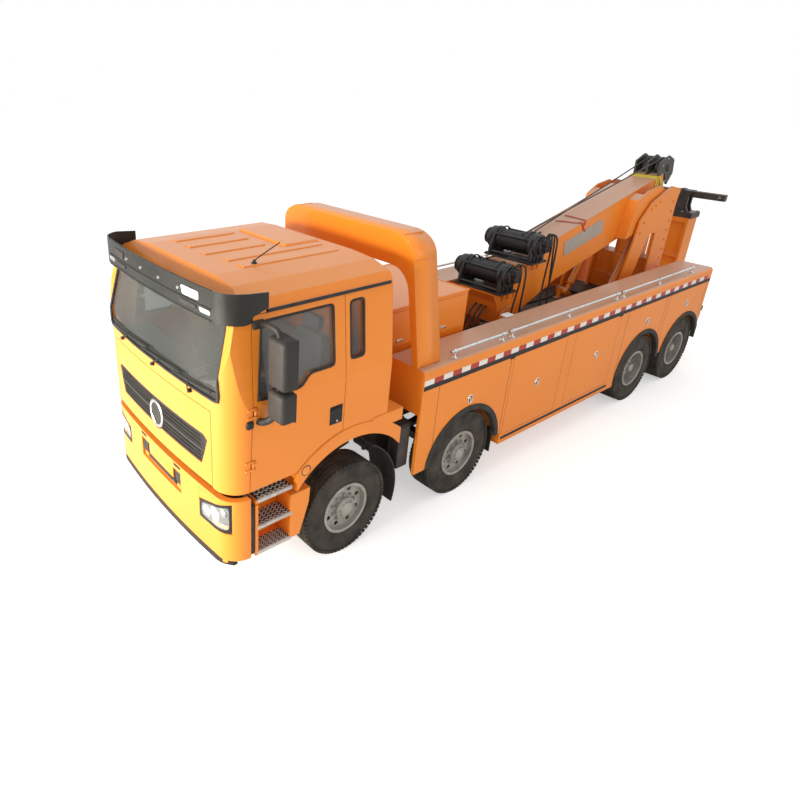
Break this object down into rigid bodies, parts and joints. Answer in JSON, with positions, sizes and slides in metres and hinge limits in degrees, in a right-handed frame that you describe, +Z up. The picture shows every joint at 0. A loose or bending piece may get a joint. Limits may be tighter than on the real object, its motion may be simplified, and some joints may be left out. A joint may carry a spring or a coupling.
{
  "type": "heavy recovery tow truck",
  "caption": "Heavy cab-over recovery truck with twin steered axles, locker body, luffing telescopic boom with winches and a folding underlift at the tail.",
  "frame": {"origin": "on the ground under the middle of the overall length, on the centre line", "axes": "+Y to the rear, -Y the front, +X the vehicle's left, +Z up"},
  "size_m": [3.09, 10.91, 3.5567],
  "materials": {
    "orange_paint": "semi-gloss orange paint",
    "chassis_black": "satin black paint",
    "engine_iron": "rough casting",
    "lamp_glass": "clear lamp lens",
    "black_rubber": "matt rubber",
    "deck_dark": "dull dark paint",
    "bright_rail": "polished tube",
    "window_glass": "tinted glass",
    "interior_grey": "grained plastic",
    "visor_smoke": "smoked plastic",
    "grille_black": "satin black plastic",
    "mirror_black": "grained dark plastic",
    "tyre_rubber": "tyre rubber",
    "wheel_silver": "silver wheel",
    "winch_black": "satin black paint",
    "chrome_rod": "polished rod"
  },
  "bodies": {
    "chassis": {"chassis_frame": "chassis_black", "engine_block": "engine_iron", "front_bumper": "orange_paint", "lamps": "lamp_glass", "cab_steps": "orange_paint", "axle_beams": "chassis_black", "leaf_springs": "chassis_black", "side_boxes": "orange_paint", "arch_rubbers": "black_rubber", "deck_floor": "deck_dark", "front_cabinet": "orange_paint", "hoop": "orange_paint", "side_rails": "bright_rail", "wrecker_frame": "orange_paint"},
    "cab": {"cab_shell": "orange_paint", "cab_glass": "window_glass", "cab_interior": "interior_grey", "sun_visor": "visor_smoke"},
    "front_flap": {"front_flap": "orange_paint", "grille": "grille_black"},
    "door_left": {"door_left": "orange_paint", "door_glass_left": "window_glass", "mirror_left": "mirror_black"},
    "door_right": {"door_right": "orange_paint", "door_glass_right": "window_glass", "mirror_right": "mirror_black"},
    "locker_mid_left": {"locker_mid_left": "orange_paint"},
    "locker_mid_right": {"locker_mid_right": "orange_paint"},
    "locker_rear_left": {"locker_rear_left": "orange_paint"},
    "locker_rear_right": {"locker_rear_right": "orange_paint"},
    "boom": {"boom_outer": "orange_paint", "winches": "winch_black"},
    "boom_inner": {"boom_inner": "orange_paint", "sheave_head": "winch_black"},
    "luff_barrels": {"luff_barrels": "orange_paint"},
    "luff_rods": {"luff_rods": "chrome_rod"},
    "underlift_carriage": {"underlift_carriage": "orange_paint"},
    "underlift_arm": {"underlift_arm": "orange_paint"},
    "underlift_stinger": {"underlift_stinger": "winch_black"},
    "crossbar": {"crossbar": "winch_black"},
    "knuckle_axle1_left": {"knuckle_axle1_left": "chassis_black"},
    "wheel_axle1_left": {"tyre_axle1_left": "tyre_rubber", "rim_axle1_left": "wheel_silver"},
    "knuckle_axle1_right": {"knuckle_axle1_right": "chassis_black"},
    "wheel_axle1_right": {"tyre_axle1_right": "tyre_rubber", "rim_axle1_right": "wheel_silver"},
    "knuckle_axle2_left": {"knuckle_axle2_left": "chassis_black"},
    "wheel_axle2_left": {"tyre_axle2_left": "tyre_rubber", "rim_axle2_left": "wheel_silver"},
    "knuckle_axle2_right": {"knuckle_axle2_right": "chassis_black"},
    "wheel_axle2_right": {"tyre_axle2_right": "tyre_rubber", "rim_axle2_right": "wheel_silver"},
    "wheels_axle3_left": {"tyres_axle3_left": "tyre_rubber", "rims_axle3_left": "wheel_silver"},
    "wheels_axle3_right": {"tyres_axle3_right": "tyre_rubber", "rims_axle3_right": "wheel_silver"},
    "wheels_axle4_left": {"tyres_axle4_left": "tyre_rubber", "rims_axle4_left": "wheel_silver"},
    "wheels_axle4_right": {"tyres_axle4_right": "tyre_rubber", "rims_axle4_right": "wheel_silver"}
  },
  "joints": [
    {"name": "cab_tilt", "type": "hinge", "parent": "chassis", "child": "cab", "pos_m": [0, -5.245, 0.9], "axis": [1, 0, 0], "range_deg": [0, 50]},
    {"name": "front_flap_lift", "type": "hinge", "parent": "cab", "child": "front_flap", "pos_m": [0, -5.455, 2.06], "axis": [-1, 0, 0], "range_deg": [0, 70]},
    {"name": "door_left_swing", "type": "hinge", "parent": "cab", "child": "door_left", "pos_m": [1.238, -5.127, 2], "axis": [0, -0.0461, -0.9989], "range_deg": [0, 70]},
    {"name": "door_right_swing", "type": "hinge", "parent": "cab", "child": "door_right", "pos_m": [-1.238, -5.127, 2], "axis": [0, 0.0461, 0.9989], "range_deg": [0, 70]},
    {"name": "locker_mid_left_lift", "type": "hinge", "parent": "chassis", "child": "locker_mid_left", "pos_m": [1.25, -0.815, 1.634], "axis": [0, -1, 0], "range_deg": [0, 85]},
    {"name": "locker_mid_right_lift", "type": "hinge", "parent": "chassis", "child": "locker_mid_right", "pos_m": [-1.25, -0.815, 1.634], "axis": [0, 1, 0], "range_deg": [0, 85]},
    {"name": "locker_rear_left_lift", "type": "hinge", "parent": "chassis", "child": "locker_rear_left", "pos_m": [1.25, 0.56, 1.634], "axis": [0, -1, 0], "range_deg": [0, 85]},
    {"name": "locker_rear_right_lift", "type": "hinge", "parent": "chassis", "child": "locker_rear_right", "pos_m": [-1.25, 0.56, 1.634], "axis": [0, 1, 0], "range_deg": [0, 85]},
    {"name": "steer_axle1_left", "type": "hinge", "parent": "chassis", "child": "knuckle_axle1_left", "pos_m": [0.862, -3.955, 0.543], "axis": [0, 0, 1], "range_deg": [-32, 32]},
    {"name": "spin_axle1_left", "type": "hinge", "parent": "knuckle_axle1_left", "child": "wheel_axle1_left", "pos_m": [1.055, -3.955, 0.543], "axis": [1, 0, 0], "continuous": true},
    {"name": "steer_axle1_right", "type": "hinge", "parent": "chassis", "child": "knuckle_axle1_right", "pos_m": [-0.862, -3.955, 0.543], "axis": [0, 0, 1], "range_deg": [-32, 32]},
    {"name": "spin_axle1_right", "type": "hinge", "parent": "knuckle_axle1_right", "child": "wheel_axle1_right", "pos_m": [-1.055, -3.955, 0.543], "axis": [1, 0, 0], "continuous": true},
    {"name": "steer_axle2_left", "type": "hinge", "parent": "chassis", "child": "knuckle_axle2_left", "pos_m": [0.862, -2.155, 0.543], "axis": [0, 0, 1], "range_deg": [-24, 24]},
    {"name": "spin_axle2_left", "type": "hinge", "parent": "knuckle_axle2_left", "child": "wheel_axle2_left", "pos_m": [1.055, -2.155, 0.543], "axis": [1, 0, 0], "continuous": true},
    {"name": "steer_axle2_right", "type": "hinge", "parent": "chassis", "child": "knuckle_axle2_right", "pos_m": [-0.862, -2.155, 0.543], "axis": [0, 0, 1], "range_deg": [-24, 24]},
    {"name": "spin_axle2_right", "type": "hinge", "parent": "knuckle_axle2_right", "child": "wheel_axle2_right", "pos_m": [-1.055, -2.155, 0.543], "axis": [1, 0, 0], "continuous": true},
    {"name": "spin_axle3_left", "type": "hinge", "parent": "chassis", "child": "wheels_axle3_left", "pos_m": [0.9, 2.045, 0.543], "axis": [1, 0, 0], "continuous": true},
    {"name": "spin_axle3_right", "type": "hinge", "parent": "chassis", "child": "wheels_axle3_right", "pos_m": [-0.9, 2.045, 0.543], "axis": [1, 0, 0], "continuous": true},
    {"name": "spin_axle4_left", "type": "hinge", "parent": "chassis", "child": "wheels_axle4_left", "pos_m": [0.9, 3.445, 0.543], "axis": [1, 0, 0], "continuous": true},
    {"name": "spin_axle4_right", "type": "hinge", "parent": "chassis", "child": "wheels_axle4_right", "pos_m": [-0.9, 3.445, 0.543], "axis": [1, 0, 0], "continuous": true},
    {"name": "boom_luff", "type": "hinge", "parent": "chassis", "child": "boom", "pos_m": [0, -0.205, 1.62], "axis": [1, 0, 0], "range_deg": [0, 30]},
    {"name": "boom_extend", "type": "slide", "parent": "boom", "child": "boom_inner", "axis": [0, 0.972, 0.2351], "range_m": [0, 1.4]},
    {"name": "luff_barrel_swing", "type": "hinge", "parent": "chassis", "child": "luff_barrels", "pos_m": [0, 2.461, 1.3], "axis": [1, 0, 0], "range_deg": [0, 36]},
    {"name": "luff_rod_slide", "type": "slide", "parent": "luff_barrels", "child": "luff_rods", "axis": [0, 0.5198, 0.8543], "range_m": [0, 1.46]},
    {"name": "underlift_lift", "type": "slide", "parent": "chassis", "child": "underlift_carriage", "axis": [0, 0, 1], "range_m": [-0.4, 0.25]},
    {"name": "underlift_fold", "type": "hinge", "parent": "underlift_carriage", "child": "underlift_arm", "pos_m": [0, 5.28, 0.85], "axis": [-1, 0, 0], "range_deg": [0, 90]},
    {"name": "underlift_extend", "type": "slide", "parent": "underlift_arm", "child": "underlift_stinger", "axis": [0, 0, 1], "range_m": [0, 0.75]},
    {"name": "crossbar_swivel", "type": "hinge", "parent": "underlift_stinger", "child": "crossbar", "pos_m": [0, 5.305, 2.8], "axis": [0, 1, 0], "range_deg": [-30, 30]}
  ],
  "couplings": [
    {"joint": "steer_axle1_right", "follows": "steer_axle1_left", "ratio": 1},
    {"joint": "steer_axle2_left", "follows": "steer_axle1_left", "ratio": 0.73},
    {"joint": "steer_axle2_right", "follows": "steer_axle1_left", "ratio": 0.73},
    {"joint": "luff_barrel_swing", "follows": "boom_luff", "ratio": 1.1321},
    {"joint": "luff_rod_slide", "follows": "boom_luff", "m_per_rad": 2.6335}
  ]
}
